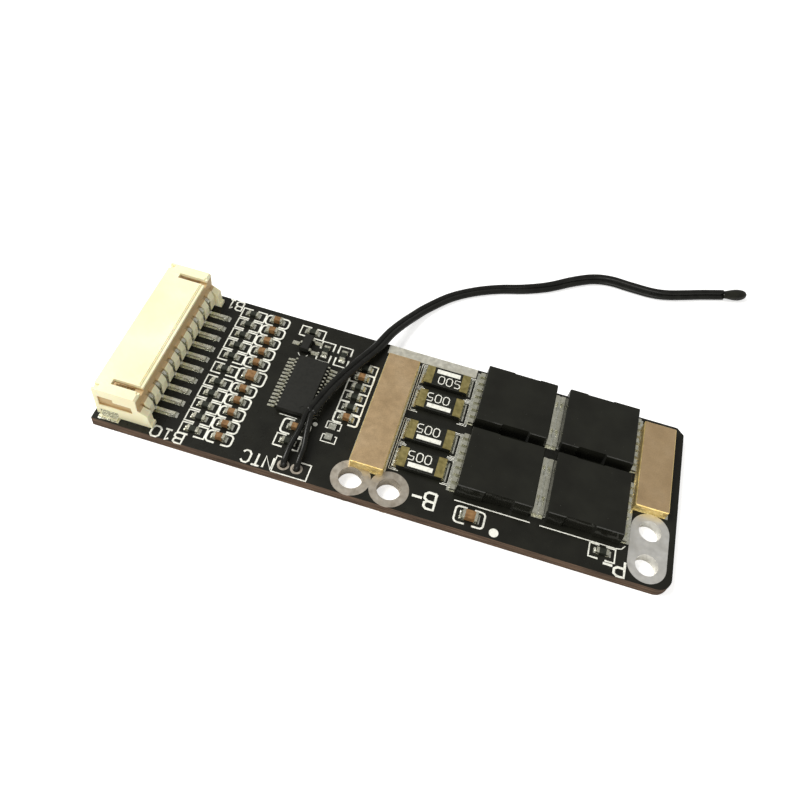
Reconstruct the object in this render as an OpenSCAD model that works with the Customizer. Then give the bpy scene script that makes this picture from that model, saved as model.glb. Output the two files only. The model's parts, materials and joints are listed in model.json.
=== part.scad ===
/* [Board] */
// Length of the laminate, along X
board_l = 77.5; // [77.5:0.5:90]
// Width of the laminate, along Y
board_w = 26; // [26:0.5:32]
// Thickness of the laminate
board_t = 1.6; // [1:0.1:2.4]

/* [Wire terminals] */
// Diameter of the holes that take the battery wires
battery_hole_d = 3.2; // [2.5:0.1:3.6]
// Spacing of the battery wire holes
battery_hole_pitch = 5.2; // [4.8:0.1:5.2]
// Diameter of the holes that take the pack wires
pack_hole_d = 3; // [2.5:0.1:3.6]
// Spacing of the pack wire holes
pack_hole_pitch = 5; // [4.6:0.1:5]

/* [Balance lead connector] */
// Number of contacts
contacts = 10; // [10:1:10]
// Spacing of the contacts
contact_pitch = 2; // [2:0.05:2.1]
// Height of the housing above the board
housing_h = 5.3; // [5:0.1:6]
// Thickness of the housing's top and bottom walls
housing_wall = 0.7; // [0.5:0.1:0.9]

/* [Power parts] */
// Thickness of the battery-side copper bar
battery_bar_h = 1.3; // [0.8:0.1:3]
// Thickness of the pack-side copper bar
pack_bar_h = 1.2; // [0.8:0.1:3]
// Height of each power transistor's moulded body
transistor_h = 2.3; // [2:0.1:2.6]
// Height of each current shunt
shunt_h = 0.75; // [0.5:0.05:1]

/* [Hidden] */
$fn = 32;

// Places on the board are measured from its near left corner
pad_h = 0.06;
plating_wall = 0.1;
cut = 0.1;

// Wire terminals
battery_pad_at = [37.4, 2.6];
battery_ring_d = 5.3;
pack_pad_at = [74.1, 5.4];
pack_pad_w = 5.1;

// Thermistor pads
sensor_pads_at = [[26, 1.5], [27.8, 1.5]];
sensor_ring_d = 1.6;
sensor_hole_d = 1;

// Connector, in its own frame: X back from the mouth, Y across, Z up from the board
conn_at = [0.45, 13];
conn_w = (contacts - 1) * contact_pitch + 5.9;
conn_body_l = 5.95;
conn_wing_l = 7.7;
conn_end_w = 1.1;
conn_cavity_l = 4.9;
conn_slot = [4.1, 0.9];
conn_slot_x = 2;
conn_slot_y = conn_w / 2 - 1.9;
pin_w = 0.5;
pin_t = 0.4;
pin_z = 3.1;
pin_tip_x = 1.6;
pin_drop_x = 6.15;
pin_bend_r = 0.2;
pin_foot_l = 2.55;
tab_l = 2.4;
tab_t = 0.25;
tab_reach = 0.65;

// Chip parts: length, width, height
chip_0603 = [1.6, 0.8, 0.45];
cap_0603 = [1.6, 0.8, 0.8];
cap_0805 = [2, 1.25, 0.85];
end_l = 0.35;
end_wall = 0.03;
land_out = 0.35;

// The two columns of balance parts: eleven rows about a middle row
column_y = 13.35;
row_gap = 2.45;
row_pitch = 2.08;
rows = [for (s = [1, -1]) for (k = [0 : 4]) column_y + s * (row_gap + k * row_pitch)];
resistor_column_x = 13.05;
capacitor_column_x = 16.75;

// Chip parts round the controller: x, y and turn of each
control_resistor_at = [
    [22.25, 24, 0], [25.15, 21.3, 90], [27.8, 21.3, 90],
    [31.45, 20.3, 0], [31.45, 16.75, 0], [31.45, 14.95, 0], [31.45, 13.1, 0],
    [25.3, 5.05, 0], [68.3, 2.8, 0],
];
control_capacitor_at = [[31.45, 18.5, 0], [31.45, 11.2, 0], [25.5, 7.4, 0]];
large_capacitor_at = [50.95, 2.1, 0];
spare_lands_at = [[30.1, 9.3], [30.1, 7.6]];

// Controller in a 28-lead body and the small transistor
controller_at = [24.25, 14.05];
controller_size = [4.4, 9.7, 0.9];
controller_pitch = 0.65;
controller_side_leads = 14;
small_transistor_at = [22.2, 21.4];
small_transistor_size = [1.3, 2.9, 0.95];

// Current shunts
shunt_at = [[43.05, 22.2], [43.05, 17.8], [43.05, 12.2], [43.05, 7.6]];
shunt_size = [6.4, 3.2];
shunt_end_l = 1.15;

// Power transistors, mirrored about a middle line
pair_x = 59.3;
pair_y = [20.75, 9.65];
transistor_l = 10.38;
transistor_w = 9.9;
drain_gap = 0.15;
drain_reach = 0.6;
power_lead_pitch = 1.2;
power_lead_reach = 0.7;

// Copper bars: centre and plan size
battery_bar_at = [36.3, 13.9];
battery_bar_size = [4.65, 19.2];
pack_bar_at = [73.75, 17.6];
pack_bar_size = [4.55, 14.1];
bar_pad_margin = 0.2;

// Sensor lead: a flat pair of cores, x, y, z from the part's origin and twist in degrees
core_d = 0.85;
lead_route = [
    [-11.9, -3.4, 3.1, 0], [-11.3, -1, 3.05, 0], [-10.6, 1.5, 3, 0], [-9.7, 4, 2.9, 0],
    [-8.4, 7.2, 2.75, 0], [-6.8, 10.9, 2.55, 0], [-5.7, 14.6, 2.2, 0], [-4.6, 17.6, 1.6, 0],
    [-3.4, 20.3, 1, 0], [-2, 22.9, 0.6, 0], [0.9, 26.6, 0.45, 0], [4.3, 29.3, 0.45, 0],
    [7.9, 31.3, 0.45, 5], [11.7, 32.8, 0.5, 15], [15.4, 34.7, 0.6, 25], [19, 37.3, 0.7, 35],
    [22.1, 39.1, 0.75, 45], [25, 39.8, 0.78, 50], [28.3, 39.7, 0.78, 50],
    [31.9, 39.7, 0.78, 50], [34.4, 40.2, 0.78, 50], [37.2, 41.3, 0.78, 50],
    [40, 42.5, 0.78, 50], [43.6, 43.9, 0.78, 50],
];
tail_start_l = 0.6;
tail_bends = [
    [[-12.4, -6.3, 2.95], [-12.7, -8.6, 2.65], [-12.75, -10.4, 2.4], [-12.75, -11.3, 2]],
    [[-11.4, -6.3, 2.9], [-11, -8.6, 2.6], [-10.95, -10.4, 2.4], [-10.95, -11.3, 2]],
];
bead_l = 4.2;
bead_d = 1.8;
sides = 8;

// ---------------------------------------------------------------- helpers

module on_board(x, y, turn = 0, up = 0) {
    translate([x - board_l / 2, y - board_w / 2, board_t + up]) rotate([0, 0, turn]) children();
}

// A rectangle on its centre, with corners of one radius
module round_rect(l, w, r) {
    square([l - 2 * r, w], center = true);
    square([l, w - 2 * r], center = true);
    for (x = [-1, 1], y = [-1, 1])
        translate([x * (l / 2 - r), y * (w / 2 - r)]) circle(r);
}

// A length of extrusion along Y whose profile is drawn in X and Z
module along_y(w) {
    translate([0, w / 2, 0]) rotate([90, 0, 0]) linear_extrude(w) children();
}

// A length of extrusion along X whose profile is drawn in Y and Z
module along_x(l) {
    translate([-l / 2, 0, 0]) rotate([90, 0, 90]) linear_extrude(l) children();
}

module block(size) {
    translate([-size[0] / 2, -size[1] / 2, 0]) cube(size);
}

// A bevelled end view: width w, height h, sides leaning in by lean, top edges cut by c
module bevel_profile(w, h, c, lean = 0) {
    polygon([
        [-w / 2, 0], [w / 2, 0], [w / 2 - lean, h - c], [w / 2 - lean - c, h],
        [-w / 2 + lean + c, h], [-w / 2 + lean, h - c],
    ]);
}

module bevelled_bar(l, w, h, r, c) {
    intersection() {
        linear_extrude(h) round_rect(l, w, r);
        along_y(w) bevel_profile(l, h, c);
        along_x(l) bevel_profile(w, h, c);
    }
}

module quarter_ring(r, t) {
    intersection() {
        difference() {
            circle(r + t);
            circle(r);
        }
        square(r + t);
    }
}

// Side view of a formed lead: a level run, a drop and a foot that lies at Z 0
module formed_lead(top_z, run_l, foot_l, t, r) {
    leg_x = run_l + r;
    translate([0, top_z - t]) square([run_l, t]);
    translate([run_l, top_z - t - r]) quarter_ring(r, t);
    translate([leg_x, t + r]) square([t, top_z - 2 * t - 2 * r]);
    translate([leg_x + t + r, t + r]) rotate(180) quarter_ring(r, t);
    translate([leg_x + t + r, 0]) square([foot_l, t]);
}

// Side view of the solder at one end of a chip: a land under it and a hollow fillet beyond
function fillet_curve(reach, rise, n = 4) =
    [for (i = [0 : n]) let (a = 90 * i / n) [reach * (1 - cos(a)), pad_h + rise * (1 - sin(a))]];

module fillet_profile(under, reach, rise) {
    polygon(concat([[-under, 0], [-under, pad_h], [0, pad_h]], fillet_curve(reach, rise), [[reach, 0]]));
}

// ---------------------------------------------------------------- board and its copper

module board_outline() {
    half = [board_l / 2, board_w / 2];
    near_r = 2;
    far_cut = 1;
    difference() {
        square([board_l, board_w], center = true);
        translate([half[0] - near_r, -half[1] - cut]) square([near_r + cut, near_r + cut]);
        translate([half[0], half[1]]) rotate(45) square(far_cut * sqrt(2), center = true);
    }
    intersection() {
        translate([half[0] - near_r, -half[1] + near_r]) circle(near_r);
        translate([half[0] - near_r, -half[1]]) square([near_r, near_r]);
    }
}

module terminal_holes(at, pitch, along, d) {
    for (s = [-1, 1]) {
        step = s * pitch / 2;
        on_board(at[0] + along[0] * step, at[1] + along[1] * step, up = -board_t - cut)
            cylinder(d = d, h = board_t + 2 * cut + pad_h);
    }
}

module circuit_board() {
    color([0.1, 0.1, 0.08]) difference() {
        linear_extrude(board_t) board_outline();
        terminal_holes(battery_pad_at, battery_hole_pitch, [1, 0], battery_hole_d + 2 * plating_wall);
        terminal_holes(pack_pad_at, pack_hole_pitch, [0, 1], pack_hole_d + 2 * plating_wall);
        translate([0, 0, -cut]) linear_extrude(cut + pad_h) battery_pad_outline();
        translate([0, 0, -cut]) linear_extrude(cut + pad_h) pack_pad_outline();
        for (at = sensor_pads_at)
            on_board(at[0], at[1], up = -board_t - cut) cylinder(d = sensor_hole_d, h = board_t + 2 * cut);
    }
}

module battery_pad_outline() {
    for (s = [-1, 1])
        translate([battery_pad_at[0] - board_l / 2 + s * battery_hole_pitch / 2,
                   battery_pad_at[1] - board_w / 2]) circle(d = battery_ring_d);
}

module pack_pad_outline() {
    translate([pack_pad_at[0] - board_l / 2, pack_pad_at[1] - board_w / 2]) {
        square([pack_pad_w, pack_hole_pitch], center = true);
        for (s = [-1, 1]) translate([0, s * pack_hole_pitch / 2]) circle(d = pack_pad_w);
    }
}

// Plated copper: a pad on each face, joined by the wall of each hole
module terminal_plating(at, pitch, along, hole_d) {
    color([0.85, 0.84, 0.78]) difference() {
        union() {
            translate([0, 0, board_t]) linear_extrude(pad_h) children();
            linear_extrude(pad_h) children();
            for (s = [-1, 1]) {
                step = s * pitch / 2;
                on_board(at[0] + along[0] * step, at[1] + along[1] * step, up = -board_t)
                    cylinder(d = hole_d + 2 * plating_wall, h = board_t + pad_h);
            }
        }
        terminal_holes(at, pitch, along, hole_d);
    }
}

module battery_terminal_plating() {
    terminal_plating(battery_pad_at, battery_hole_pitch, [1, 0], battery_hole_d) battery_pad_outline();
}

module pack_terminal_plating() {
    terminal_plating(pack_pad_at, pack_hole_pitch, [0, 1], pack_hole_d) pack_pad_outline();
}

module tinned_edge_strip() {
    strip = [13.3, 1.6, 0.12];
    color([0.95, 0.94, 0.86]) on_board(40.25, 25.1) block(strip);
}

module sensor_pads() {
    color([0.85, 0.84, 0.78]) for (at = sensor_pads_at) on_board(at[0], at[1]) difference() {
        cylinder(d = sensor_ring_d, h = pad_h);
        translate([0, 0, -cut]) cylinder(d = sensor_hole_d, h = pad_h + 2 * cut);
    }
}

// ---------------------------------------------------------------- balance lead connector

module in_connector() {
    on_board(conn_at[0], conn_at[1]) children();
}

function pin_y(i) = ((contacts - 1) / 2 - i) * contact_pitch;

module shroud_profile() {
    step = 0.12;
    polygon([
        [0, 0.15], [0.15, 0], [conn_body_l - 0.3, 0], [conn_body_l, 0.3],
        [conn_body_l, housing_h - step], [conn_body_l - 0.4, housing_h - step],
        [conn_body_l - 0.4, housing_h], [0, housing_h],
    ]);
}

// End wall: runs on past the back as a sloping wing with a small toe
module end_wall_profile() {
    polygon([
        [0, 0], [conn_wing_l, 0], [conn_wing_l, 0.55], [conn_wing_l - 0.3, 0.6],
        [conn_wing_l - 0.45, 2.35], [conn_body_l, 3.05], [conn_body_l, housing_h - 0.25],
        [conn_body_l - 0.25, housing_h], [0, housing_h],
    ]);
}

// L-shaped sink in the outer face of an end wall
module end_recess_profile() {
    polygon([[0.55, 2], [5.2, 2], [5.1, 3.3], [2.65, 3.3], [2.65, 3.9], [1.1, 3.9], [0.55, 3.9]]);
}

// Guide rib between two contacts, on the back wall
module rib_profile() {
    polygon([[0, 0.25], [0, 3.5], [0.45, 3.2], [0.9, 2.3], [0.95, 0.8], [0.7, 0.25]]);
}

module connector_housing() {
    rib_w = 1.15;
    recess = 0.35;
    floor_z = housing_wall;
    color([0.96, 0.94, 0.78]) in_connector() difference() {
        union() {
            along_y(conn_w - 2 * conn_end_w) shroud_profile();
            for (s = [-1, 1])
                translate([0, s * (conn_w - conn_end_w) / 2, 0]) along_y(conn_end_w) end_wall_profile();
            for (i = [0 : contacts])
                translate([conn_body_l, pin_y(i - 0.5), 0]) along_y(rib_w) rib_profile();
        }
        // Mouth for the plug
        translate([-cut, -conn_w / 2 + conn_end_w, floor_z])
            cube([conn_cavity_l + cut, conn_w - 2 * conn_end_w, housing_h - 2 * housing_wall]);
        for (s = [-1, 1]) {
            translate([conn_slot_x, s * conn_slot_y - conn_slot[1] / 2, housing_h - housing_wall - cut])
                cube([conn_slot[0] + cut, conn_slot[1], housing_wall + 2 * cut]);
            translate([-cut, s * (conn_w / 2 - 0.65) - 0.35, housing_h - 0.45]) cube([0.85, 0.7, 1]);
            translate([0, s * (conn_w / 2 - recess / 2 + cut / 2), 0])
                along_y(recess + cut) end_recess_profile();
            translate([0.6, s * (conn_w / 2 - tab_t / 2 + cut / 2), 0])
                along_y(tab_t + cut) translate([0, -cut]) square([tab_l, 1.1 + cut]);
        }
        // Holes that the contacts are pressed through
        for (i = [0 : contacts - 1])
            translate([conn_cavity_l - cut, pin_y(i) - pin_w / 2, pin_z - pin_t])
                cube([conn_body_l - conn_cavity_l + 2 * cut, pin_w, pin_t]);
        // Witness groove along the back of the top face
        translate([conn_body_l - 0.6, -conn_slot_y + 0.7, housing_h - 0.1])
            cube([0.15, 2 * conn_slot_y - 1.4, 1]);
    }
}

// Contact: pointed tip in the mouth, level run, drop and foot
module connector_pin(i) {
    tip = 0.35;
    color([0.86, 0.85, 0.74]) in_connector() translate([0, pin_y(i), 0]) difference() {
        translate([pin_tip_x, 0, pad_h]) along_y(pin_w)
            formed_lead(pin_z - pad_h, pin_drop_x - pin_tip_x, pin_foot_l, pin_t, pin_bend_r);
        for (s = [-1, 1]) translate([pin_tip_x, 0, pin_z - pin_t / 2])
            rotate([s * 90, 0, 0]) translate([0, 0, pin_w / 2]) rotate([0, 22, 0])
                block([2 * tip, pin_t + 2 * cut, 1]);
    }
}

// Solder tab: upright in the end wall's pocket, with a foot on the board
module connector_tab(s) {
    color([0.86, 0.85, 0.74]) in_connector() translate([0.6 + tab_l / 2, s * conn_w / 2, 0]) {
        translate([0, -s * tab_t / 2, pad_h]) block([tab_l, tab_t, 1]);
        translate([0, s * tab_reach / 2, pad_h]) block([tab_l, tab_reach, tab_t]);
    }
}

module connector_tab_near() {
    connector_tab(-1);
}

module connector_tab_far() {
    connector_tab(1);
}

// Lands and solder of the contacts and of the two tabs
module connector_solder() {
    foot_x = pin_drop_x + 2 * pin_bend_r + pin_t;
    toe_x = foot_x + pin_foot_l;
    land_w = 0.85;
    color([0.88, 0.88, 0.8]) in_connector() {
        for (i = [0 : contacts - 1]) translate([0, pin_y(i), 0]) difference() {
            union() {
                translate([toe_x - 1.3, 0, 0]) block([3.4, land_w, pad_h]);
                translate([toe_x, 0, 0]) along_y(land_w) fillet_profile(0.75, 0.38, pin_t);
                translate([toe_x - 0.375, 0, 0]) along_x(0.75) bevel_profile(land_w, 0.36, 0.05, 0.12);
            }
            translate([foot_x - 3, -pin_w / 2, pad_h]) cube([toe_x - foot_x + 3, pin_w, 2]);
        }
        for (s = [-1, 1]) translate([0.6 + tab_l / 2, s * (conn_w / 2 + 0.4), 0])
            block([tab_l + 0.5, 0.8, pad_h]);
    }
}

// ---------------------------------------------------------------- chip parts

// Ceramic or film body of a chip part, between and inside its two metal ends
module chip_body(size) {
    inner = [size[0] - 2 * end_wall, size[1] - 2 * end_wall, size[2] - 2 * end_wall];
    translate([0, 0, pad_h + end_wall]) block(inner);
    translate([0, 0, pad_h + end_wall])
        block([size[0] - 2 * end_l, size[1] - 2 * end_wall, size[2] - end_wall - 0.01]);
}

// Five-sided metal cap on each end of a chip part
module chip_ends(size) {
    for (s = [-1, 1]) difference() {
        translate([s * (size[0] - end_l) / 2, 0, pad_h]) block([end_l, size[1], size[2]]);
        translate([0, 0, pad_h + end_wall])
            block([size[0] - 2 * end_wall, size[1] - 2 * end_wall, size[2] - 2 * end_wall]);
    }
}

module chip_lands(size) {
    for (s = [0, 180]) rotate([0, 0, s]) translate([size[0] / 2, 0, 0])
        along_y(size[1] + 0.06) fillet_profile(end_l + 0.1, land_out, size[2] * 0.6);
}

module place_each(list) {
    for (p = list) on_board(p[0], p[1], p[2]) children();
}

resistor_column = [for (y = concat(rows, column_y)) [resistor_column_x, y, 0]];
capacitor_column = [for (y = rows) [capacitor_column_x, y, 0]];
middle_capacitor = [[capacitor_column_x + 0.15, column_y, 0]];

module balance_resistors() {
    color([0.16, 0.16, 0.15]) place_each(resistor_column) chip_body(chip_0603);
}

module balance_resistor_ends() {
    color([0.8, 0.8, 0.72]) place_each(resistor_column) chip_ends(chip_0603);
}

module filter_capacitors() {
    color([0.5, 0.36, 0.22]) {
        place_each(capacitor_column) chip_body(cap_0603);
        place_each(middle_capacitor) chip_body(cap_0805);
    }
}

module filter_capacitor_ends() {
    color([0.82, 0.8, 0.68]) {
        place_each(capacitor_column) chip_ends(cap_0603);
        place_each(middle_capacitor) chip_ends(cap_0805);
    }
}

module control_resistors() {
    color([0.16, 0.16, 0.15]) place_each(control_resistor_at) chip_body(chip_0603);
}

module control_resistor_ends() {
    color([0.8, 0.8, 0.72]) place_each(control_resistor_at) chip_ends(chip_0603);
}

module control_capacitors() {
    color([0.5, 0.36, 0.22]) {
        place_each(control_capacitor_at) chip_body(cap_0603);
        place_each([large_capacitor_at]) chip_body(cap_0805);
    }
}

module control_capacitor_ends() {
    color([0.82, 0.8, 0.68]) {
        place_each(control_capacitor_at) chip_ends(cap_0603);
        place_each([large_capacitor_at]) chip_ends(cap_0805);
    }
}

module chip_solder() {
    color([0.9, 0.9, 0.84]) {
        place_each(concat(resistor_column, control_resistor_at)) chip_lands(chip_0603);
        place_each(concat(capacitor_column, control_capacitor_at)) chip_lands(cap_0603);
        place_each(concat(middle_capacitor, [large_capacitor_at])) chip_lands(cap_0805);
        for (at = spare_lands_at) on_board(at[0], at[1]) block([1, 1, 3 * pad_h]);
    }
}

// ---------------------------------------------------------------- controller and small transistor

// Moulded body: the upper and the lower half both lean in from the parting line
module moulded_body(size, lift, lean) {
    mid = size[2] * 0.5;
    for (half = [0, 1]) {
        h = half == 1 ? size[2] - mid : mid;
        translate([0, 0, lift + mid]) mirror([0, 0, 1 - half]) intersection() {
            along_y(size[1]) bevel_profile(size[0], h, 0, lean);
            along_x(size[0]) bevel_profile(size[1], h, 0, lean);
        }
    }
}

module controller_chip() {
    dimple_d = 0.8;
    color([0.09, 0.09, 0.08]) on_board(controller_at[0], controller_at[1]) difference() {
        moulded_body(controller_size, 0.1, 0.1);
        translate([controller_size[0] / 2 - 0.9, -controller_size[1] / 2 + 0.9, controller_size[2] + 0.05])
            cylinder(d = dimple_d, h = 1);
    }
}

module controller_leads() {
    lead_w = 0.25;
    lead_t = 0.15;
    reach = 0.5;
    color([0.88, 0.87, 0.8]) for (s = [0, 180], i = [0 : controller_side_leads - 1])
        on_board(controller_at[0], controller_at[1], s)
            translate([controller_size[0] / 2, (i - (controller_side_leads - 1) / 2) * controller_pitch, 0]) {
                translate([0, 0, pad_h]) along_y(lead_w) formed_lead(0.6, 0.15, reach, lead_t, 0.08);
                translate([0.95, 0, 0]) block([0.95, lead_w + 0.1, pad_h]);
            }
}

module small_transistor() {
    color([0.08, 0.08, 0.07]) on_board(small_transistor_at[0], small_transistor_at[1])
        moulded_body(small_transistor_size, 0.1, 0.08);
}

// One lead on the left, two on the right, each with its land
module small_transistor_leads() {
    lead_w = 0.42;
    lead_t = 0.15;
    color([0.9, 0.9, 0.84]) on_board(small_transistor_at[0], small_transistor_at[1])
        for (lead = [[0, 0.95], [0, -0.95], [180, 0]]) rotate([0, 0, lead[0]])
            translate([small_transistor_size[0] / 2, lead[1], 0]) {
                translate([0, 0, pad_h]) along_y(lead_w) formed_lead(0.6, 0.1, 0.35, lead_t, 0.1);
                translate([0.95, 0, 0]) block([1, lead_w + 0.25, pad_h]);
            }
}

// ---------------------------------------------------------------- current shunts

module shunt_body(i) {
    color([0.2, 0.21, 0.19]) on_board(shunt_at[i][0], shunt_at[i][1], up = pad_h) {
        translate([0, 0, 0.08]) block([shunt_size[0] - 0.16, shunt_size[1], shunt_h - 0.16]);
        translate([0, 0, shunt_h - 0.08])
            along_x(shunt_size[0] - 2 * shunt_end_l) bevel_profile(shunt_size[1], 0.05, 0.04);
    }
}

// A folded metal terminal on each end
module shunt_terminals(i) {
    color([0.68, 0.61, 0.4]) on_board(shunt_at[i][0], shunt_at[i][1], up = pad_h) difference() {
        for (s = [-1, 1]) translate([s * (shunt_size[0] - shunt_end_l) / 2, 0, 0])
            block([shunt_end_l, shunt_size[1] - 0.1, shunt_h]);
        translate([0, 0, 0.08]) block([shunt_size[0] - 0.16, shunt_size[1] + cut, shunt_h - 0.16]);
    }
}

// ---------------------------------------------------------------- power transistors

// Frame of transistor i: its drain edge faces the middle line at X 0, leads point to +X
module at_transistor(i) {
    on_board(pair_x, pair_y[i % 2]) mirror([i < 2 ? 1 : 0, 0, 0]) children();
}

drain_x = drain_gap + drain_reach;

module power_transistor(i) {
    waist = 0.35;
    waist_x = [drain_x + 2.45, drain_x + 6.75];
    half_w = transistor_w / 2;
    far_x = drain_x + transistor_l;
    lean = 0.14;
    color([0.05, 0.05, 0.05]) at_transistor(i) intersection() {
        translate([0, 0, pad_h]) linear_extrude(transistor_h) polygon([
            [drain_x, -half_w + 0.5], [drain_x + 0.5, -half_w],
            [waist_x[0], -half_w], [waist_x[0] + waist, -half_w + waist],
            [waist_x[1] - waist, -half_w + waist], [waist_x[1], -half_w],
            [far_x, -half_w], [far_x, half_w],
            [waist_x[1], half_w], [waist_x[1] - waist, half_w - waist],
            [waist_x[0] + waist, half_w - waist], [waist_x[0], half_w],
            [drain_x + 0.5, half_w], [drain_x, half_w - 0.5],
        ]);
        translate([(drain_x + far_x) / 2, 0, pad_h]) along_y(transistor_w)
            bevel_profile(transistor_l, transistor_h, 0.1, lean);
        translate([(drain_x + far_x) / 2, 0, pad_h]) along_x(transistor_l)
            bevel_profile(transistor_w, transistor_h, 0.1, lean);
    }
}

// Eight flat leads with the foot under the edge of the body
module transistor_leads(i) {
    far_x = drain_x + transistor_l;
    color([0.86, 0.85, 0.76]) at_transistor(i) for (k = [0 : 7])
        translate([far_x + power_lead_reach / 2, (k - 3.5) * power_lead_pitch, pad_h])
            block([power_lead_reach, 0.7, 0.5]);
}

// Drain tab: a plate with two notches in its free edge
module transistor_tab(i) {
    tab_h = 0.5;
    notch = [0.35, 1.5];
    color([0.8, 0.78, 0.66]) at_transistor(i) translate([0, 0, pad_h]) linear_extrude(tab_h) difference() {
        translate([drain_gap, -transistor_w / 2 + 0.5]) square([drain_reach, transistor_w - 1]);
        for (s = [-1, 1]) translate([drain_gap - cut, s * 2.4 - notch[1] / 2]) square([notch[0] + cut, notch[1]]);
    }
}

// Solder under and round the power parts
module power_solder() {
    seam_h = 0.3;
    color([0.86, 0.86, 0.78]) {
        for (y = pair_y) on_board(pair_x, y) {
            block([2 * drain_x - 0.02, transistor_w - 0.4, pad_h]);
            translate([0, 0, pad_h]) block([2 * drain_gap, transistor_w - 1, seam_h]);
        }
        for (i = [0 : 3]) at_transistor(i)
            translate([drain_x + transistor_l + 0.45, 0, 0]) block([1.3, transistor_w - 0.6, pad_h]);
        for (at = shunt_at) on_board(at[0], at[1]) for (s = [0, 180]) rotate([0, 0, s])
            translate([shunt_size[0] / 2, 0, 0])
                along_y(shunt_size[1] - 0.2) fillet_profile(shunt_end_l, 0.5, shunt_h * 0.6);
        for (bar = [[battery_bar_at, battery_bar_size], [pack_bar_at, pack_bar_size]]) difference() {
            on_board(bar[0][0], bar[0][1])
                block([bar[1][0] + 2 * bar_pad_margin, bar[1][1] + 2 * bar_pad_margin, pad_h]);
            translate([0, 0, board_t - cut]) linear_extrude(1) {
                battery_pad_outline();
                pack_pad_outline();
            }
        }
    }
}

// ---------------------------------------------------------------- copper bars

module busbar(at, size, h) {
    color([0.84, 0.67, 0.46]) on_board(at[0], at[1], up = pad_h) bevelled_bar(size[0], size[1], h, 0.25, 0.1);
}

module battery_busbar() {
    busbar(battery_bar_at, battery_bar_size, battery_bar_h);
}

module pack_busbar() {
    busbar(pack_bar_at, pack_bar_size, pack_bar_h);
}

// ---------------------------------------------------------------- sensor lead

function unit(v) = v / norm(v);

function tangent(p, i) =
    unit(p[min(i + 1, len(p) - 1)] - p[max(i - 1, 0)]);

// Ring of a swept section: level across vector, turned by twist, and the vector square to it
function ring(p, t, w, h, twist) =
    let (
        flat = unit(cross(t, [0, 0, 1])),
        up = cross(flat, t),
        a = flat * cos(twist) + up * sin(twist),
        b = up * cos(twist) - flat * sin(twist)
    )
    [for (k = [0 : sides - 1]) let (g = 360 * (k + 0.5) / sides)
        p + a * (w / 2 * cos(g) / cos(180 / sides)) + b * (h / 2 * sin(g) / cos(180 / sides))];

function reversed(list) = [for (i = [len(list) - 1 : -1 : 0]) list[i]];

module swept(points, w, h, twists) {
    n = len(points);
    rings = [for (i = [0 : n - 1]) each ring(points[i], tangent(points, i), w, h, twists[i])];
    walls = [for (i = [0 : n - 2], k = [0 : sides - 1]) let (
            a = i * sides + k, b = i * sides + (k + 1) % sides, c = b + sides, d = a + sides
        ) each [[a, b, c], [a, c, d]]];
    first = reversed([for (k = [0 : sides - 1]) k]);
    last = [for (k = [0 : sides - 1]) (n - 1) * sides + k];
    polyhedron(rings, concat([first], walls, [last]));
}

route_points = [for (p = lead_route) [p[0], p[1], p[2]]];
route_twists = [for (p = lead_route) p[3]];

module sensor_lead() {
    color([0.06, 0.06, 0.06]) swept(route_points, 2 * core_d - 0.05, core_d, route_twists);
}

// The pair parts into two single cores, each going down into the hole of its own pad
module sensor_lead_tails() {
    along = tangent(route_points, 0);
    across = unit(cross(along, [0, 0, 1]));
    color([0.06, 0.06, 0.06]) for (k = [0, 1]) {
        first = route_points[0] + (k == 0 ? -1 : 1) * across * core_d / 2;
        hole = [sensor_pads_at[k][0] - board_l / 2, sensor_pads_at[k][1] - board_w / 2];
        points = concat([first, first - along * tail_start_l], tail_bends[k],
                        [[hole[0], hole[1], board_t], [hole[0], hole[1] - 0.02, board_t / 2]]);
        swept(points, core_d - 0.05, core_d - 0.05, [for (p = points) 0]);
    }
}

// Epoxy bead over the thermistor: a drop with its thick end outward
module sensor_bead() {
    last = len(route_points) - 1;
    t = tangent(route_points, last);
    color([0.05, 0.05, 0.05]) translate(route_points[last])
        rotate([0, 90 - asin(t[2]), atan2(t[1], t[0])])
            rotate_extrude($fn = 24) polygon(concat(
                [[0, 0]],
                [for (i = [0 : 8]) let (s = i / 8) [drop_radius(s), s * bead_l]]
            ));
}

function drop_radius(s) =
    s < 0.62 ? core_d / 2 + (bead_d / 2 - core_d / 2) * pow(sin(90 * s / 0.62), 1.5)
             : bead_d / 2 * sqrt(max(0, 1 - pow((s - 0.62) / 0.38, 2)));

circuit_board();
battery_terminal_plating();
pack_terminal_plating();
tinned_edge_strip();
sensor_pads();
connector_housing();
connector_pin(0);  // connector_pin_01
connector_pin(1);  // connector_pin_02
connector_pin(2);  // connector_pin_03
connector_pin(3);  // connector_pin_04
connector_pin(4);  // connector_pin_05
connector_pin(5);  // connector_pin_06
connector_pin(6);  // connector_pin_07
connector_pin(7);  // connector_pin_08
connector_pin(8);  // connector_pin_09
connector_pin(9);  // connector_pin_10
connector_tab_near();
connector_tab_far();
connector_solder();
balance_resistors();
balance_resistor_ends();
filter_capacitors();
filter_capacitor_ends();
control_resistors();
control_resistor_ends();
control_capacitors();
control_capacitor_ends();
chip_solder();
controller_chip();
controller_leads();
small_transistor();
small_transistor_leads();
shunt_body(0);  // shunt_body_1
shunt_body(1);  // shunt_body_2
shunt_body(2);  // shunt_body_3
shunt_body(3);  // shunt_body_4
shunt_terminals(0);  // shunt_terminals_1
shunt_terminals(1);  // shunt_terminals_2
shunt_terminals(2);  // shunt_terminals_3
shunt_terminals(3);  // shunt_terminals_4
power_transistor(0);  // power_transistor_1
power_transistor(1);  // power_transistor_2
power_transistor(2);  // power_transistor_3
power_transistor(3);  // power_transistor_4
transistor_leads(0);  // transistor_leads_1
transistor_leads(1);  // transistor_leads_2
transistor_leads(2);  // transistor_leads_3
transistor_leads(3);  // transistor_leads_4
transistor_tab(0);  // transistor_tab_1
transistor_tab(1);  // transistor_tab_2
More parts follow.
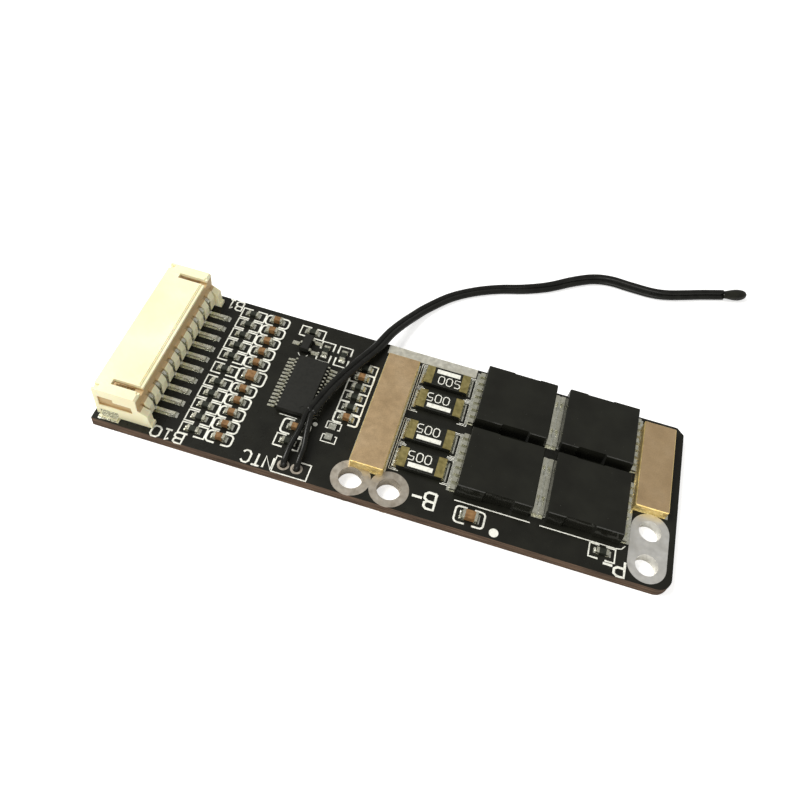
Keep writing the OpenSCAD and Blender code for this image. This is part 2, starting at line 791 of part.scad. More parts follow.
transistor_tab(2);  // transistor_tab_3
transistor_tab(3);  // transistor_tab_4
power_solder();
battery_busbar();
pack_busbar();
sensor_lead();
sensor_lead_tails();
sensor_bead();
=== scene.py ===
"""Looks of the battery management board: materials, sensor lead, legend ink, floor, light and camera."""
import json
import math

import bpy
from mathutils import Matrix, Vector, noise


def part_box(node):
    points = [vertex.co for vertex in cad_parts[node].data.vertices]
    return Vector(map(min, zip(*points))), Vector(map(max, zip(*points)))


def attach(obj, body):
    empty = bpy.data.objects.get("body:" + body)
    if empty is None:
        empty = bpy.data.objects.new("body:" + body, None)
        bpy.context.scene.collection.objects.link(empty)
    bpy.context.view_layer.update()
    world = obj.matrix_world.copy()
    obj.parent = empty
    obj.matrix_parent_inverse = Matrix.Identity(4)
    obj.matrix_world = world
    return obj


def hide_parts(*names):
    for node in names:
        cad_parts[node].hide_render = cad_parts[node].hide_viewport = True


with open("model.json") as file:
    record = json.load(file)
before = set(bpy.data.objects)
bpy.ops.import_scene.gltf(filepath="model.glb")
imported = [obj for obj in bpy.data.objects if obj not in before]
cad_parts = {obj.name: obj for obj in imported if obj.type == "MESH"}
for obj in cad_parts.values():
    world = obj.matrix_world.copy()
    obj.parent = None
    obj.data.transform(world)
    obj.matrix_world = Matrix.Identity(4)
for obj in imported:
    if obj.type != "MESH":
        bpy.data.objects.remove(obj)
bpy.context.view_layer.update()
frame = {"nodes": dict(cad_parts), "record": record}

NODES = frame["nodes"]
MM = 0.001
LOW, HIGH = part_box("circuit_board")
TOP = HIGH.z


def at(x, y, up=0.0):
    """A point over the board's top face, in millimetres from its near left corner."""
    return Vector((LOW.x + x * MM, LOW.y + y * MM, TOP + up * MM))


# ---------------------------------------------------------------- camera

VIEW_ANGLES = (6.577, 53.623, 11.139)
VIEW_DISTANCE = 116.569 * MM
VIEW_TARGET = Vector((-1.332, 5.024, 0)) * MM
LENS = 36.884


def add_camera():
    """The camera stands at an azimuth, an elevation and a roll about the target."""
    azimuth, elevation, roll = (math.radians(a) for a in VIEW_ANGLES)
    away = Vector((math.sin(azimuth) * math.cos(elevation),
                   -math.cos(azimuth) * math.cos(elevation), math.sin(elevation)))
    level = (-away).cross(Vector((0, 0, 1))).normalized()
    upright = level.cross(-away)
    right = level * math.cos(roll) + upright * math.sin(roll)
    up = upright * math.cos(roll) - level * math.sin(roll)
    camera = bpy.data.objects.new("camera", bpy.data.cameras.new("camera"))
    bpy.context.scene.collection.objects.link(camera)
    camera.matrix_world = Matrix.Translation(VIEW_TARGET + away * VIEW_DISTANCE) @ Matrix(
        (right, up, away)).transposed().to_4x4()
    camera.data.sensor_width = 36
    camera.data.lens = LENS
    camera.data.clip_start = 0.001
    camera.data.clip_end = 10
    bpy.context.scene.camera = camera


add_camera()


# ---------------------------------------------------------------- material helpers

class Nodes:
    """Short calls for building one material's node tree."""

    def __init__(self, name):
        self.material = bpy.data.materials.new(name)
        self.material.use_nodes = True
        self.tree = self.material.node_tree
        self.shader = self.tree.nodes["Principled BSDF"]
        self.place = self.add("ShaderNodeTexCoord").outputs["Object"]

    def add(self, kind, **inputs):
        node = self.tree.nodes.new(kind)
        for key, value in inputs.items():
            self.feed(node.inputs[key.replace("_", " ")], value)
        return node

    def feed(self, socket, value):
        if isinstance(value, bpy.types.NodeSocket):
            self.tree.links.new(value, socket)
        else:
            socket.default_value = value

    def set(self, **inputs):
        for key, value in inputs.items():
            self.feed(self.shader.inputs[key.replace("_", " ")], value)

    def noise(self, size_mm, detail=3.0, stretch=None, rough=0.5):
        """Noise whose features are about size_mm across."""
        place = self.place
        if stretch:
            mapping = self.add("ShaderNodeMapping", Vector=place, Scale=stretch)
            place = mapping.outputs["Vector"]
        return self.add("ShaderNodeTexNoise", Vector=place, Scale=1000 / size_mm, Detail=detail,
                        Roughness=rough).outputs["Fac"]

    def ramp(self, value, stops):
        """A colour ramp: stops are (position, colour) pairs; a plain number stands for a grey."""
        node = self.tree.nodes.new("ShaderNodeValToRGB")
        node.color_ramp.interpolation = "LINEAR"
        elements = node.color_ramp.elements
        while len(elements) < len(stops):
            elements.new(0.5)
        for element, (position, colour) in zip(elements, stops):
            element.position = position
            grey = isinstance(colour, (int, float))
            element.color = (colour, colour, colour, 1) if grey else (*colour, 1)
        self.feed(node.inputs["Fac"], value)
        return node.outputs["Color"]

    def mix(self, fac, a, b, blend="MIX"):
        node = self.tree.nodes.new("ShaderNodeMix")
        node.data_type = "RGBA"
        node.blend_type = blend
        for socket, value in zip((node.inputs[0], node.inputs[6], node.inputs[7]), (fac, a, b)):
            self.feed(socket, (*value, 1) if isinstance(value, tuple) and len(value) == 3 else value)
        return node.outputs[2]

    def math(self, operation, a, b=0.0):
        node = self.tree.nodes.new("ShaderNodeMath")
        node.operation = operation
        self.feed(node.inputs[0], a)
        self.feed(node.inputs[1], b)
        return node.outputs[0]

    def bump(self, *layers):
        """Bump from (height, depth in mm) layers, set as the shader's normal."""
        normal = None
        for height, depth in layers:
            node = self.add("ShaderNodeBump", Height=height, Distance=depth * MM)
            if normal is not None:
                self.feed(node.inputs["Normal"], normal)
            normal = node.outputs["Normal"]
        self.feed(self.shader.inputs["Normal"], normal)


# ---------------------------------------------------------------- materials

def laminate():
    m = Nodes("laminate")
    normal_z = m.add("ShaderNodeSeparateXYZ", Vector=m.add("ShaderNodeNewGeometry").outputs["Normal"])
    flat = m.math("GREATER_THAN", m.math("ABSOLUTE", normal_z.outputs["Z"]), 0.5)
    layers = m.noise(0.22, 2, stretch=(0.06, 0.06, 1))
    edge = m.ramp(layers, [(0.3, (0.045, 0.026, 0.015)), (0.5, (0.085, 0.052, 0.032)),
                           (0.72, (0.16, 0.1, 0.062))])
    blotch = m.noise(2.5, 4)
    mask = m.ramp(blotch, [(0.3, (0.0095, 0.0095, 0.0072)), (0.7, (0.0145, 0.0145, 0.0108))])
    dust = m.ramp(m.noise(0.16, 1), [(0.74, 0.0), (0.8, 1.0)])
    mask = m.mix(m.math("MULTIPLY", dust, 0.35), mask, (0.09, 0.09, 0.075))
    rough = m.ramp(m.noise(1.2, 4), [(0.3, 0.24), (0.7, 0.34)])
    m.set(Base_Color=m.mix(flat, edge, mask), Roughness=m.mix(flat, (0.7, 0.7, 0.7), rough),
          Specular_IOR_Level=0.2)
    m.bump((m.noise(0.5, 3), 0.006), (m.noise(6, 2), 0.02))
    return m.material


def ink():
    m = Nodes("legend_ink")
    patchy = m.noise(0.35, 4)
    m.set(Base_Color=m.ramp(patchy, [(0.25, (0.5, 0.5, 0.44)), (0.5, (0.8, 0.8, 0.72)),
                                     (0.8, (0.93, 0.92, 0.85))]),
          Roughness=0.55)
    m.bump((m.noise(0.1, 3), 0.006))
    return m.material


def nylon():
    """Ivory nylon with painted shade: darker and browner in the mouth and the cut-outs, below the top of the
    housing's body.
    """
    body_l, top_wall, mouth_edge, end_skin = 6.3 * MM, 0.5 * MM, 0.08 * MM, 0.12 * MM
    m = Nodes("ivory_nylon")
    cloud = m.noise(6, 3)
    colour = m.ramp(cloud, [(0.3, (0.86, 0.8, 0.52)), (0.55, (0.9, 0.85, 0.58)), (0.8, (0.94, 0.89, 0.66))])
    place = m.add("ShaderNodeSeparateXYZ", Vector=m.place).outputs
    low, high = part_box("connector_housing")
    # Painted shade: below the housing's top, in the mouth and the cut-outs, the nylon is tinted dark brown
    # where shade falls.
    painted_shade_inside = m.math("LESS_THAN", place["Z"], high.z - top_wall)
    for axis, side, edge in (("X", "LESS_THAN", low.x + body_l), ("X", "GREATER_THAN", low.x + mouth_edge),
                             ("Y", "GREATER_THAN", low.y + end_skin), ("Y", "LESS_THAN", high.y - end_skin)):
        painted_shade_inside = m.math("MULTIPLY", painted_shade_inside, m.math(side, place[axis], edge))
    colour = m.mix(painted_shade_inside, colour, (0.56, 0.4, 0.2))
    m.set(Base_Color=colour, Roughness=m.ramp(m.noise(0.6, 4), [(0.3, 0.42), (0.7, 0.56)]),
          Subsurface_Weight=0.25, Subsurface_Radius=(1.0, 0.7, 0.35), Subsurface_Scale=0.0006)
    m.bump((m.noise(0.06, 2), 0.003), (m.noise(1.5, 2), 0.008))
    return m.material


def metal(name, dark, light, size=0.5, rough=(0.18, 0.4), lumps=0.02, lump_size=0.35, grain=0.003):
    """A metal whose colour and gloss wander between two tones, with lumps and a fine grain."""
    m = Nodes(name)
    wander = m.noise(size, 4)
    m.set(Base_Color=m.ramp(wander, [(0.3, dark), (0.7, light)]), Metallic=1.0,
          Roughness=m.ramp(m.noise(size * 0.6, 4), [(0.3, rough[0]), (0.7, rough[1])]))
    m.bump((m.noise(lump_size, 2), lumps), (m.noise(0.05, 2), grain))
    return m.material


def bar_copper():
    m = Nodes("bar_copper")
    cloud = m.noise(3.5, 5)
    base = m.ramp(cloud, [(0.3, (0.47, 0.33, 0.18)), (0.5, (0.54, 0.385, 0.215)), (0.75, (0.6, 0.44, 0.26))])
    grain = m.ramp(m.noise(0.12, 4), [(0.3, 0.84), (0.7, 1.06)])
    base = m.mix(1.0, base, grain, "MULTIPLY")
    dark_spots = m.ramp(m.noise(0.22, 2), [(0.7, 0.0), (0.78, 1.0)])
    base = m.mix(m.math("MULTIPLY", dark_spots, 0.45), base, (0.3, 0.19, 0.1))
    # Painted highlight: the upright side faces get a brighter gold colour, standing in for the front light
    # they catch.
    normal = m.add("ShaderNodeNewGeometry").outputs["Normal"]
    upright = m.math("ABSOLUTE", m.add("ShaderNodeSeparateXYZ", Vector=normal).outputs["Z"])
    side = m.math("LESS_THAN", upright, 0.86)
    painted_side_highlight = m.ramp(m.noise(0.5, 3), [(0.3, (0.82, 0.58, 0.17)), (0.7, (0.98, 0.8, 0.36))])
    m.set(Base_Color=m.mix(m.math("MULTIPLY", side, 0.8), base, painted_side_highlight), Metallic=0.75,
          Roughness=m.ramp(m.noise(0.8, 4), [(0.3, 0.38), (0.7, 0.52)]))
    m.bump((m.noise(0.09, 4), 0.006), (m.noise(1.6, 2), 0.01))
    return m.material


def plastic(name, dark, light, size=0.6, rough=(0.45, 0.6), depth=0.004, gloss=0.25):
    m = Nodes(name)
    m.set(Base_Color=m.ramp(m.noise(size, 4), [(0.3, dark), (0.7, light)]),
          Roughness=m.ramp(m.noise(size, 4), [(0.3, rough[0]), (0.7, rough[1])]), Specular_IOR_Level=gloss)
    m.bump((m.noise(0.07, 3), depth), (m.noise(1.4, 2), depth))
    return m.material


def lacquered():
    """Black moulding under a clear lacquer that has run into waves and pools, with dust in it."""
    m = Nodes("lacquered_moulding")
    dust = m.ramp(m.noise(0.2, 2), [(0.765, 0.0), (0.8, 1.0)])
    base = m.ramp(m.noise(4, 3), [(0.35, (0.0105, 0.0105, 0.008)), (0.65, (0.015, 0.0152, 0.0115))])
    m.set(Base_Color=m.mix(dust, base, (0.2, 0.2, 0.18)),
          Roughness=m.ramp(m.noise(2.2, 4), [(0.35, 0.1), (0.7, 0.24)]), Specular_IOR_Level=0.2)
    m.bump((m.noise(3.4, 1), 0.16), (m.noise(1.1, 2), 0.02), (dust, 0.02))
    return m.material


MATERIALS = {
    "solder_mask": laminate(),
    "ink": ink(),
    "nylon": nylon(),
    "plated_copper": metal("plated_copper", (0.42, 0.37, 0.3), (0.6, 0.55, 0.47), 0.9, (0.35, 0.5),
                           0.012, 0.5),
    "pack_plating": metal("bright_plating", (0.8, 0.78, 0.72), (0.92, 0.91, 0.87), 1.2, (0.35, 0.5),
                          0.01, 0.6),
    "tinning": metal("pale_tinning", (0.82, 0.79, 0.66), (0.95, 0.93, 0.82), 1.0, (0.3, 0.5), 0.015, 0.8),
    "contact_metal": metal("tin_plate", (0.6, 0.59, 0.47), (0.82, 0.81, 0.68), 0.4, (0.2, 0.36), 0.012, 0.4),
    "solder": metal("solder", (0.55, 0.55, 0.45), (0.9, 0.9, 0.8), 0.35, (0.14, 0.34), 0.06, 0.3),
    "resistor_body": plastic("resistor_glaze", (0.012, 0.014, 0.01), (0.03, 0.033, 0.024), 0.4, (0.3, 0.45)),
    "capacitor_body": plastic("brown_ceramic", (0.15, 0.075, 0.028), (0.3, 0.17, 0.07), 0.5, (0.35, 0.5)),
    "chip_moulding": plastic("chip_moulding", (0.0105, 0.0105, 0.0085), (0.0155, 0.0155, 0.0125), 0.3,
                             (0.42, 0.55)),
    "shunt_coat": plastic("shunt_coat", (0.009, 0.009, 0.007), (0.016, 0.017, 0.012), 0.5, (0.3, 0.45)),
    "shunt_metal": metal("shunt_plate", (0.3, 0.25, 0.09), (0.56, 0.47, 0.2), 0.8, (0.28, 0.45), 0.02, 0.5),
    "power_moulding": lacquered(),
    "bar_copper": bar_copper(),
    "lead_jacket": plastic("lead_jacket", (0.006, 0.006, 0.005), (0.012, 0.012, 0.01), 1.5,
                           (0.2, 0.32), 0.004),
    "bead_epoxy": plastic("bead_epoxy", (0.008, 0.008, 0.006), (0.016, 0.016, 0.011), 0.9,
                          (0.08, 0.16), 0.006),
}


def dress(piece, material):
    piece.data.materials.clear()
    piece.data.materials.append(MATERIALS[material])


def soften(piece, width, segments=2):
    """Rounded edges that catch the light, on a CAD part as it stands."""
    bevel = piece.modifiers.new("soft_edges", "BEVEL")
    bevel.width = width * MM
    bevel.segments = segments
    bevel.limit_method = "ANGLE"
    bevel.angle_limit = math.radians(35)
    bevel.harden_normals = False


def dress_cad():
    edges = {"nylon": 0.09, "bar_copper": 0.05, "power_moulding": 0.09, "chip_moulding": 0.04,
             "shunt_coat": 0.03, "shunt_metal": 0.06, "contact_metal": 0.03, "resistor_body": 0.02,
             "capacitor_body": 0.04, "solder": 0.03, "solder_mask": 0.04}
    for entry in frame["record"]["subparts"]:
        node, slot = NODES[entry["node"]], entry["material_slot"]
        dress(node, "pack_plating" if node.name == "pack_terminal_plating" else slot)
        if slot in edges:
            soften(node, edges[slot])


dress_cad()


# ---------------------------------------------------------------- mesh helpers

def add_mesh(name, points, faces, material, smooth=True):
    mesh = bpy.data.meshes.new(name)
    mesh.from_pydata([tuple(p) for p in points], [], faces)
    mesh.update()
    if smooth:
        mesh.shade_smooth()
    piece = bpy.data.objects.new(name, mesh)
    bpy.context.scene.collection.objects.link(piece)
    dress(piece, material)
    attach(piece, "root")
    return piece


def spline(points, steps):
    """A smooth curve through the points, with that many steps between each two."""
    ends = [points[0] * 2 - points[1], *points, points[-1] * 2 - points[-2]]
    made = []
    for a, b, c, d in zip(ends, ends[1:], ends[2:], ends[3:]):
        for k in range(steps):
            t = k / steps
            made.append(0.5 * (2 * b + (c - a) * t + (2 * a - 5 * b + 4 * c - d) * t ** 2
                               + (3 * b - a - 3 * c + d) * t ** 3))
    return made + [points[-1]]


def tube(name, path, section, twists, material):
    """A section, as points across and up, swept along a path with a closed end at each side."""
    points, faces = [], []
    for k, place in enumerate(path):
        along = (path[min(k + 1, len(path) - 1)] - path[max(k - 1, 0)]).normalized()
        across = along.cross(Vector((0, 0, 1)))
        across = across.normalized() if across.length > 0.02 else Vector((1, 0, 0))
        up = across.cross(along)
        turn = Matrix.Rotation(math.radians(twists[k]), 3, along)
        for a, b in section:
            points.append(place + turn @ (across * a + up * b))
    sides = len(section)
    for k in range(len(path) - 1):
        for j in range(sides):
            n = (j + 1) % sides
            faces.append((k * sides + j, (k + 1) * sides + j, (k + 1) * sides + n, k * sides + n))
    faces.append(tuple(range(sides)))
    faces.append(tuple(reversed(range((len(path) - 1) * sides, len(path) * sides))))
    return add_mesh(name, points, faces, material)


# ---------------------------------------------------------------- sensor lead

# The route of the twin lead, as in the part's source: x, y, z in metres and twist in degrees
LEAD_ROUTE = [
    (-0.0119, -0.0034, 0.0031, 0), (-0.0113, -0.001, 0.00305, 0), (-0.0106, 0.0015, 0.003, 0),
    (-0.0097, 0.004, 0.0029, 0), (-0.0084, 0.0072, 0.00275, 0), (-0.0068, 0.0109, 0.00255, 0),
    (-0.0057, 0.0146, 0.0022, 0), (-0.0046, 0.0176, 0.0016, 0), (-0.0034, 0.0203, 0.001, 0),
    (-0.002, 0.0229, 0.0006, 0), (0.0009, 0.0266, 0.00045, 0), (0.0043, 0.0293, 0.00045, 0),
    (0.0079, 0.0313, 0.00045, 5), (0.0117, 0.0328, 0.0005, 15), (0.0154, 0.0347, 0.0006, 25),
    (0.019, 0.0373, 0.0007, 35), (0.0221, 0.0391, 0.00075, 45), (0.025, 0.0398, 0.00078, 50),
    (0.0283, 0.0397, 0.00078, 50), (0.0319, 0.0397, 0.00078, 50), (0.0344, 0.0402, 0.00078, 50),
    (0.0372, 0.0413, 0.00078, 50), (0.04, 0.0425, 0.00078, 50), (0.0436, 0.0439, 0.00078, 50),
]
TAIL_BENDS = [
    [(-0.0124, -0.0063, 0.00295), (-0.0127, -0.0086, 0.00265), (-0.01275, -0.0104, 0.0024),
     (-0.01275, -0.0113, 0.002), (-0.01275, -0.0115, 0.0016), (-0.01275, -0.01152, 0.0008)],
    [(-0.0114, -0.0063, 0.0029), (-0.011, -0.0086, 0.0026), (-0.01095, -0.0104, 0.0024),
     (-0.01095, -0.0113, 0.002), (-0.01095, -0.0115, 0.0016), (-0.01095, -0.01152, 0.0008)],
]
CORE_R = 0.425 * MM
CORE_APART = 0.8 * MM
TAIL_START = 0.6 * MM
LEAD_SIDES = 32
CORE_SIDES = 20


def twin_section():
    """Section of two joined cores, with a groove between them."""
    half, made = CORE_APART / 2, []
    for i in range(LEAD_SIDES):
        a = 2 * math.pi * i / LEAD_SIDES
        r = half * abs(math.cos(a)) + math.sqrt(CORE_R ** 2 - (half * math.sin(a)) ** 2)
        made.append((r * math.cos(a), r * math.sin(a)))
    return made


def core_section():
    """Section of one core: a hair thinner than in the twin lead, so that it sinks into it."""
    r, turns = CORE_R * 0.98, [2 * math.pi * i / CORE_SIDES for i in range(CORE_SIDES)]
    return [(r * math.cos(a), r * math.sin(a)) for a in turns]


def sensor_lead():
    steps = 6
    route = spline([Vector(p[:3]) for p in LEAD_ROUTE], steps)
    twists = [t.x for t in spline([Vector((p[3], 0, 0)) for p in LEAD_ROUTE], steps)]
    lead = tube("twin_lead", route, twin_section(), twists, "lead_jacket")
    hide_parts("sensor_lead")

    along = (route[1] - route[0]).normalized()
    across = along.cross(Vector((0, 0, 1))).normalized()
    for side, bends in zip((-1, 1), TAIL_BENDS):
        start = route[0] + across * side * CORE_APART / 2
        path = spline([start, start - along * TAIL_START] + [Vector(p) for p in bends], steps)
        tube(f"lead_core_{'ab'[side > 0]}", path, core_section(), [0] * len(path),
                          "lead_jacket")
    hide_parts("sensor_lead_tails")
    bead = epoxy_bead(route[-1], (route[-1] - route[-2]).normalized())


def epoxy_bead(start, along):
    """A dipped drop: a taper that swells from the lead to a thick round end."""
    length, thick, rings, sides = 4.2 * MM, 0.9 * MM, 40, 32
    across = along.cross(Vector((0, 0, 1))).normalized()
    up = across.cross(along)
    lead = CORE_R + CORE_APART / 2
    points, faces = [], []
    for k in range(rings + 1):
        s = k / rings
        if s < 0.62:
            swell = math.sin(math.pi / 2 * s / 0.62) ** 1.5
            wide = lead * 0.9 + (thick - lead * 0.9) * swell
            high = CORE_R + (thick - CORE_R) * swell
        else:
            wide = high = thick * math.sqrt(max(0.0, 1 - ((s - 0.62) / 0.38) ** 2))
        for j in range(sides):
            a = 2 * math.pi * j / sides
            place = start + along * (s * length) + across * wide * math.cos(a) + up * high * math.sin(a)
            wobble = 1 + 0.05 * noise.noise(place * 900)
            points.append(start + along * (s * length) + (place - start - along * (s * length)) * wobble)
    for k in range(rings):
        for j in range(sides):
            n = (j + 1) % sides
            faces.append((k * sides + j, (k + 1) * sides + j, (k + 1) * sides + n, k * sides + n))
    faces.append(tuple(range(sides)))
    bead = add_mesh("epoxy_bead", points, faces, "bead_epoxy")
    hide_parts("sensor_bead")
    return bead


sensor_lead()


# ---------------------------------------------------------------- legend ink

INK_UP = 0.004
INK_FLATNESS = 0.1


class Legend:
    """Strokes of ink on the board: polylines with a width, made into one thin mesh."""

    def __init__(self, name, up=0.0):
        self.curve = bpy.data.curves.new(name, "CURVE")
        self.curve.dimensions = "3D"
        self.curve.bevel_depth = 1
        self.curve.bevel_resolution = 3
        self.curve.use_fill_caps = True
        self.name = name
        self.up = up

    def stroke(self, points, width=0.2, closed=False):
        line = self.curve.splines.new("POLY")
        line.points.add(len(points) - 1)
        for point, (x, y) in zip(line.points, points):
            point.co = (LOW.x + x * MM, LOW.y + y * MM, 0, 1)
            point.radius = width / 2 * MM
        line.use_cyclic_u = closed

    def finish(self, material):
        piece = bpy.data.objects.new(self.name + "_curve", self.curve)
        bpy.context.scene.collection.objects.link(piece)
        bpy.context.view_layer.update()
        mesh = bpy.data.meshes.new_from_object(piece.evaluated_get(bpy.context.evaluated_depsgraph_get()))
        bpy.data.objects.remove(piece)
        for v in mesh.vertices:
            v.co.z = TOP + (self.up + INK_UP) * MM + v.co.z * INK_FLATNESS
        mesh.name = self.name
        made = bpy.data.objects.new(self.name, mesh)
        bpy.context.scene.collection.objects.link(made)
        dress(made, material)
        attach(made, "root")
        return made


def arc(x, y, r, start, end, n=6):
    return [(x + r * math.cos(math.radians(start + (end - start) * k / n)),
             y + r * math.sin(math.radians(start + (end - start) * k / n))) for k in range(n + 1)]


def square_bracket(legend, x0, x1, y0, y1, gap, turned=False, width=0.27):
    """Two facing square brackets round a chip, open in the middle of the long sides."""
    mid = (x0 + x1) / 2 if not turned else (y0 + y1) / 2
    if turned:
        for y, m in ((y0, mid - gap / 2), (y1, mid + gap / 2)):
            legend.stroke([(x0, m), (x0, y), (x1, y), (x1, m)], width)
    else:
        for x, m in ((x0, mid - gap / 2), (x1, mid + gap / 2)):
            legend.stroke([(m, y0), (x, y0), (x, y1), (m, y1)], width)


def round_bracket(legend, x0, x1, y0, y1, gap, r=0.5, width=0.27):
    """Two facing brackets with round corners."""
    mid = (x0 + x1) / 2
    left = [(mid - gap / 2, y0)] + arc(x0 + r, y0 + r, r, 270, 180) + arc(x0 + r, y1 - r, r, 180, 90) + [
        (mid - gap / 2, y1)]
    right = [(mid + gap / 2, y0)] + arc(x1 - r, y0 + r, r, 270, 360) + arc(x1 - r, y1 - r, r, 0, 90) + [
        (mid + gap / 2, y1)]
    legend.stroke(left, width)
    legend.stroke(right, width)


# Strokes of each sign in a cell 0.6 wide and 1 high
SIGNS = {
    "B": [[(0, 0), (0, 1), (0.4, 1), (0.55, 0.88), (0.55, 0.66), (0.4, 0.54), (0, 0.54)],
          [(0.4, 0.54), (0.6, 0.4), (0.6, 0.14), (0.44, 0), (0, 0)]],
    "P": [[(0, 0), (0, 1), (0.42, 1), (0.6, 0.86), (0.6, 0.58), (0.42, 0.44), (0, 0.44)]],
    "N": [[(0, 0), (0, 1), (0.6, 0), (0.6, 1)]],
    "T": [[(0, 1), (0.6, 1)], [(0.3, 1), (0.3, 0)]],
    "C": [[(0.6, 0.82), (0.44, 1), (0.16, 1), (0, 0.8), (0, 0.2), (0.16, 0), (0.44, 0), (0.6, 0.18)]],
    "-": [[(0.02, 0.45), (0.58, 0.45)]],
    "0": [[(0.15, 0), (0, 0.2), (0, 0.8), (0.15, 1), (0.45, 1), (0.6, 0.8), (0.6, 0.2), (0.45,
            0), (0.15, 0)]],
    "1": [[(0.12, 0.8), (0.32, 1), (0.32, 0)], [(0.1, 0), (0.54, 0)]],
    "5": [[(0.58, 1), (0.04, 1), (0.02, 0.56), (0.42, 0.58), (0.6, 0.42), (0.6, 0.14), (0.44, 0), (0.04, 0)]],
}


def write(legend, text, x, y, height, width, turned=True, wide=1.0, space=0.3):
    """Signs from the first one's corner: its lower left, or its upper right where turned to the far side."""
    step = (0.6 * wide + space) * height
    for i, sign in enumerate(text):
        for line in SIGNS[sign]:
            if turned:
                points = [(x - i * step - a * wide * height, y - b * height) for a, b in line]
            else:
                points = [(x + i * step + a * wide * height, y + b * height) for a, b in line]
            legend.stroke(points, width)


COLUMN_Y = 13.35
ROW_GAP = 2.45
ROW_PITCH = 2.08
ROWS = [COLUMN_Y + s * (ROW_GAP + ROW_PITCH * k) for s in (1, -1) for k in range(5)]


def board_legend():
    legend = Legend("legend")
    for y in ROWS + [COLUMN_Y]:
        square_bracket(legend, 11.3, 14.85, y - 0.88, y + 0.88, 0.75)
    for y in ROWS:
        round_bracket(legend, 15.05, 18.5, y - 0.88, y + 0.88, 0.9)
    round_bracket(legend, 14.95, 18.9, COLUMN_Y - 1.15, COLUMN_Y + 1.15, 0.9)
    # Round the controller
    square_bracket(legend, 20.45, 24.05, 23.1, 24.9, 0.8)
    for x in (25.15, 27.8):
        square_bracket(legend, x - 0.95, x + 0.95, 19.5, 23.1, 0.8, turned=True)
    for y in (20.3, 16.75, 14.95, 13.1):
        square_bracket(legend, 29.75, 33.15, y - 0.88, y + 0.88, 0.8)
    for y in (18.5, 11.2):
        round_bracket(legend, 29.75, 33.15, y - 0.86, y + 0.86, 0.9, 0.3)
    round_bracket(legend, 23.65, 27.4, 6.3, 8.6, 0.9)
    square_bracket(legend, 23.55, 27.0, 4.1, 6.0, 0.9)
    legend.stroke([(29.9, 9.0), (29.25, 9.0), (29.25, 10.1), (31.2, 10.1), (31.2, 9.0), (30.9, 9.0)])
    legend.stroke([(29.9, 7.9), (29.25, 7.9), (29.25, 6.75), (31.2, 6.75), (31.2, 7.9), (30.9, 7.9)])
    legend.stroke([(22.7, 9.0), (25.2, 8.95)], 0.12)
    legend.stroke(arc(22.2, 20.1, 0.75, 200, 340), 0.1)
    # Sensor pads
    legend.stroke([(25.5, 2.6), (24.8, 2.6), (24.8, 0.15), (29.5, 0.15), (29.5, 2.6), (27.4, 2.6)], 0.24)
    # Shunts: a double line at each end of each pair
    for low, high in ((15.7, 24.15), (5.7, 14.2)):
        mid = (low + high) / 2
        for x, s in ((39.05, 1), (47.35, -1)):
            for a, b in ((low, mid - 0.1), (mid + 0.1, high)):
                legend.stroke([(x + s * 1.3, a), (x, a), (x, b), (x + s * 1.3, b)], 0.13)
                legend.stroke([(x + s * 1.0, a + 0.22), (x + s * 0.27, a + 0.22),
                               (x + s * 0.27, b - 0.22), (x + s * 1.0, b - 0.22)], 0.11)
    # Near edge
    legend.stroke([(48.5, 3.95), (58.6, 3.95)], 0.16)
    legend.stroke([(59.9, 3.95), (70.0, 3.95), (70.7, 4.1), (71.15, 4.7)], 0.16)
    round_bracket(legend, 49.0, 52.9, 0.95, 3.3, 1.0)
    square_bracket(legend, 66.6, 70.0, 1.8, 3.75, 0.9)
    # Terminal signs, read from the far side
    write(legend, "B1", 11.0, 25.85, 1.7, 0.26, space=0.12)
    write(legend, "B10", 12.4, 1.65, 1.6, 0.28, wide=1.25, space=0.22)
    write(legend, "NTC", 24.6, 2.1, 1.8, 0.28, space=0.24)
    write(legend, "B-", 46.2, 3.9, 2.4, 0.38, space=0.12)
    write(legend, "P-", 71.4, 2.4, 2.2, 0.36, space=0.1)
    legend.finish("ink")


def dots():
    """Two round marks of ink: the controller's first lead, and a fiducial at the near edge."""
    points, faces = [], []
    for x, y, r in ((27.8, 8.95, 0.33), (54.4, 0.95, 0.62)):
        base = len(points)
        for up in (0.0, 0.02):
            points += [at(x + r * math.cos(math.pi * k / 16), y + r * math.sin(math.pi * k / 16), up)
                       for k in range(32)]
        faces.append(tuple(range(base + 32, base + 64)))
        faces += [(base + k, base + (k + 1) % 32, base + 32 + (k + 1) % 32, base + 32 + k) for k in range(32)]
    add_mesh("ink_dots", points, faces, "ink", smooth=False)


board_legend()
dots()


# ---------------------------------------------------------------- marks on the shunts

def shunt_marks():
    low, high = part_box("shunt_body_1")
    legend = Legend("shunt_marks", up=(high.z - TOP) / MM)
    bars, faces = [], []
    # Only the far shunt's code reads from the near side
    for y, s in ((22.2, 1), (17.8, -1), (12.2, -1), (7.6, -1)):
        x0, x1 = 41.35, 44.75
        base = len(bars)
        for up in (0.0, 0.02):
            z = (high.z - TOP) / MM + up
            bars += [at(x, y + s * across, z)
                     for x, across in ((x0, 0.55), (x1, 0.55), (x1, 1.25), (x0, 1.25))]
        top = tuple(range(base + 4, base + 8))
        faces.append(top if s > 0 else top[::-1])
        faces += [(base + k, base + (k + 1) % 4, base + 4 + (k + 1) % 4, base + 4 + k) for k in range(4)]
        if s > 0:
            write(legend, "005", 41.9, y - 1.2, 1.35, 0.15, turned=False, space=0.25)
        else:
            write(legend, "005", 44.2, y + 1.2, 1.35, 0.15, turned=True, space=0.25)
    legend.finish("ink")
    add_mesh("shunt_bars", bars, faces, "ink", smooth=False)


shunt_marks()


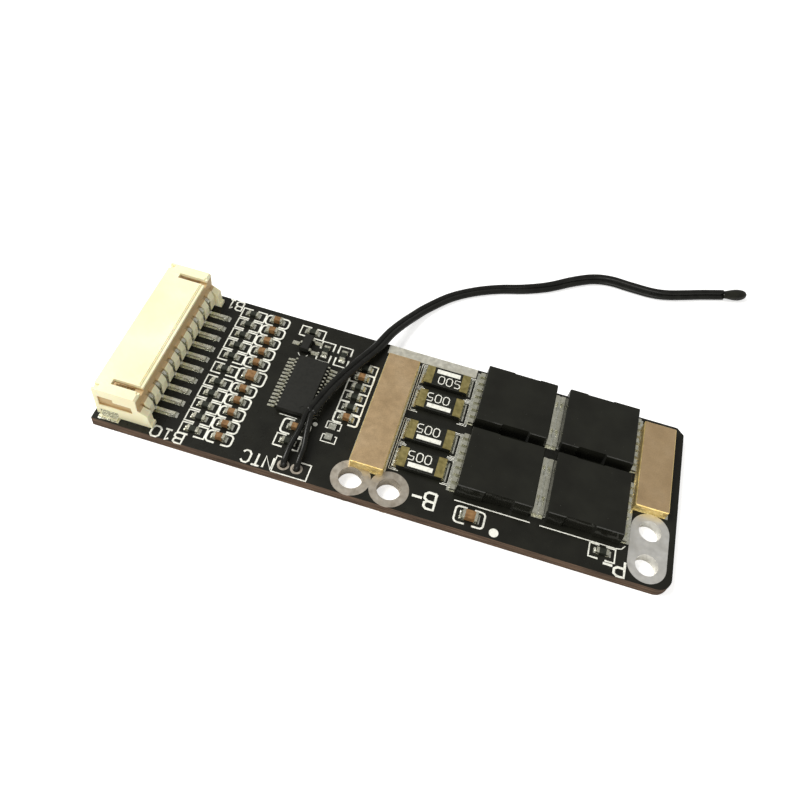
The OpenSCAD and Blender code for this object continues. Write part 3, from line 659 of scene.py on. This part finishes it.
# ---------------------------------------------------------------- floor, light and world

def stage():
    mesh = bpy.data.meshes.new("floor")
    half = 1.5
    corners = [(-half, -half, 0), (half, -half, 0), (half, half, 0), (-half, half, 0)]
    mesh.from_pydata(corners, [], [(0, 1, 2, 3)])
    floor = bpy.data.objects.new("floor", mesh)
    bpy.context.scene.collection.objects.link(floor)
    m = Nodes("floor")
    m.set(Base_Color=m.ramp(m.noise(40, 2), [(0.3, (0.8, 0.8, 0.795)), (0.7, (0.815, 0.815, 0.81))]),
          Roughness=0.9)
    # The floor is lifted to white for the eye only, so it keeps the board's shadow and throws no more light
    seen = m.tree.nodes.new("ShaderNodeLightPath").outputs["Is Camera Ray"]
    m.set(Emission_Color=(1, 1, 1, 1), Emission_Strength=m.math("MULTIPLY", seen, 0.55))
    floor.data.materials.append(m.material)

    world = bpy.data.worlds.new("world")
    bpy.context.scene.world = world
    world.use_nodes = True
    tree = world.node_tree
    background = tree.nodes["Background"]
    path = tree.nodes.new("ShaderNodeLightPath")
    strength = tree.nodes.new("ShaderNodeMix")
    strength.inputs[2].default_value = 0.42
    strength.inputs[3].default_value = 1.0
    tree.links.new(path.outputs["Is Camera Ray"], strength.inputs[0])
    tree.links.new(strength.outputs[0], background.inputs["Strength"])
    background.inputs["Color"].default_value = (1, 0.995, 0.98, 1)


def softbox(name, place, target, size, power, tint=(1, 1, 1)):
    data = bpy.data.lights.new(name, "AREA")
    data.shape = "RECTANGLE"
    data.size, data.size_y = size
    data.energy = power
    data.color = tint
    lamp = bpy.data.objects.new(name, data)
    bpy.context.scene.collection.objects.link(lamp)
    lamp.location = place
    lamp.rotation_euler = (Vector(target) - Vector(place)).to_track_quat("-Z", "Y").to_euler()


stage()
softbox("key", (-0.42, 0.02, 0.5), (0, 0, 0), (0.35, 0.35), 4.0, (1, 0.99, 0.96))
softbox("front", (0.1, -0.45, 0.22), (0, 0, 0), (0.4, 0.2), 1.0, (1, 0.98, 0.94))

bpy.context.scene.view_settings.view_transform = "Standard"
